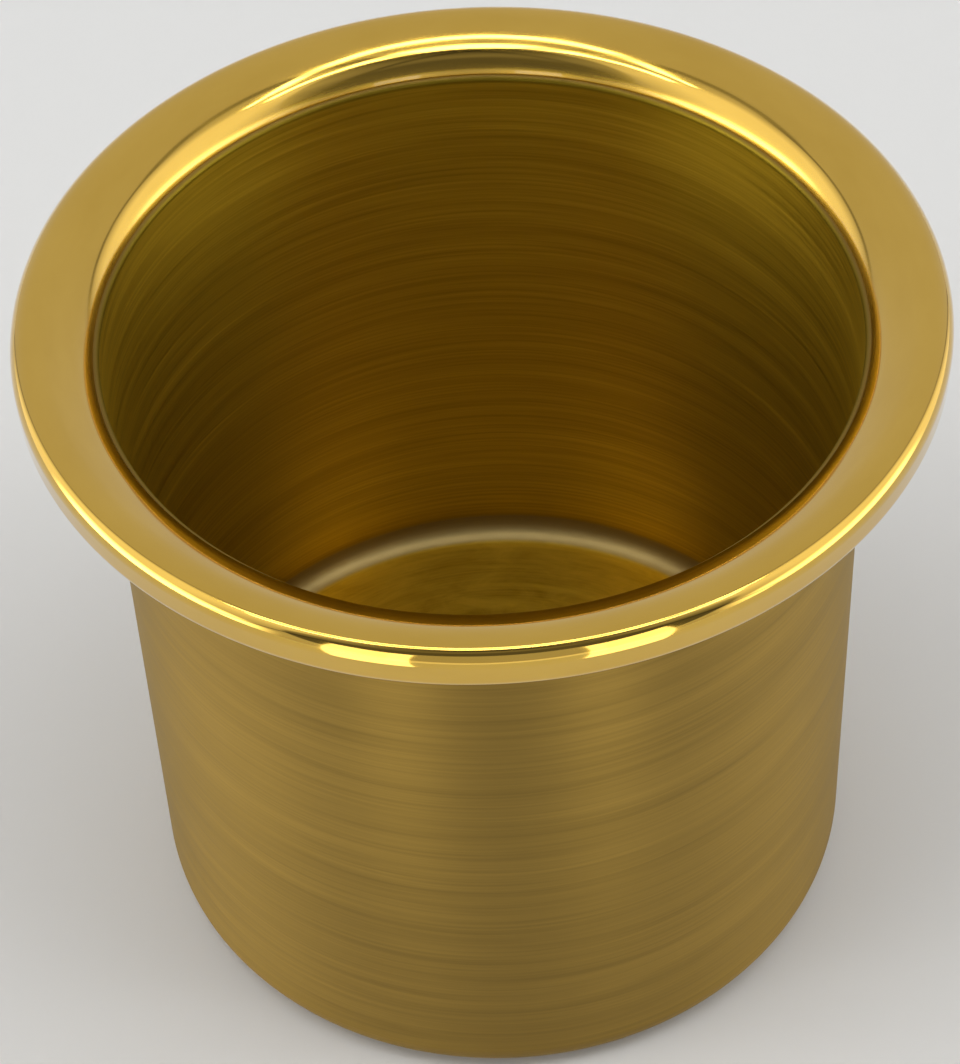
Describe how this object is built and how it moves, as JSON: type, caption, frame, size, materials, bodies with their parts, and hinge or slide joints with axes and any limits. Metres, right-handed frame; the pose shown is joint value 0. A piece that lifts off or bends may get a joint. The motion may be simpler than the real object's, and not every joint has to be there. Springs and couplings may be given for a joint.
{
  "type": "drop-in cup",
  "caption": "Round brass cup with a straight brushed wall and a wide polished rolled rim that hangs in a panel hole.",
  "frame": {"origin": "on the cup's axis, in the plane its base stands on", "axes": "+Z along the cup's axis, out of its mouth; X and Y are equivalent because the part is round"},
  "size_m": [0.1048, 0.1048, 0.0895],
  "materials": {
    "brushed_brass": "fine circumferential brushing",
    "polished_brass": "polished"
  },
  "bodies": {
    "root": {"cup_body": "brushed_brass", "rim_ring": "polished_brass"}
  },
  "joints": []
}
